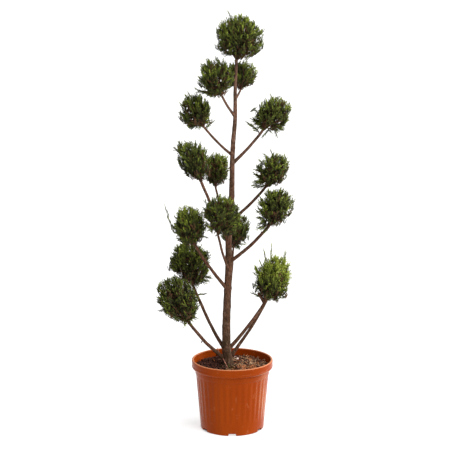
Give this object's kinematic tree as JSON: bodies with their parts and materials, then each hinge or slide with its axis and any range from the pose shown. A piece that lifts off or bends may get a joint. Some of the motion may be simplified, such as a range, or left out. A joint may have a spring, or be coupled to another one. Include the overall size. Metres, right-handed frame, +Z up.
{
  "type": "potted conifer pompon topiary",
  "caption": "Evergreen conifer trained as a pompon topiary: a slim leaning trunk with bare upswept boughs, each ending in a clipped ball of foliage, in a round plastic nursery pot.",
  "frame": {"origin": "centre of the pot's flat underside", "axes": "+Z up along the trunk, -Y towards the front that the picture shows, +X to the right in that view"},
  "size_m": [0.4936, 0.3604, 1.535],
  "materials": {
    "pot_plastic": "satin terracotta-coloured moulded plastic",
    "soil": "rough potting mix with dry litter",
    "bark": "rough reddish-brown bark",
    "foliage": "soft scale-leaf sprays"
  },
  "bodies": {
    "root": {"pot": "pot_plastic", "potting_soil": "soil", "trunk": "bark", "bough_upper_back": "bark", "bough_upper_left": "bark", "bough_high_left": "bark", "bough_high_right": "bark", "bough_middle_left": "bark", "bough_middle_back": "bark", "bough_middle_right": "bark", "bough_waist_right": "bark", "bough_waist_front": "bark", "bough_waist_left": "bark", "bough_waist_back": "bark", "bough_low_back": "bark", "bough_low_right": "bark", "bough_low_left": "bark", "bough_low_right_second": "bark", "pompon_top": "foliage", "pompon_upper_back": "foliage", "pompon_upper_left": "foliage", "pompon_high_left": "foliage", "pompon_high_right": "foliage", "pompon_middle_left": "foliage", "pompon_middle_back": "foliage", "pompon_middle_right": "foliage", "pompon_waist_right": "foliage", "pompon_waist_front": "foliage", "pompon_waist_left": "foliage", "pompon_waist_back": "foliage", "pompon_low_back": "foliage", "pompon_low_right": "foliage", "pompon_low_left": "foliage"}
  },
  "joints": []
}
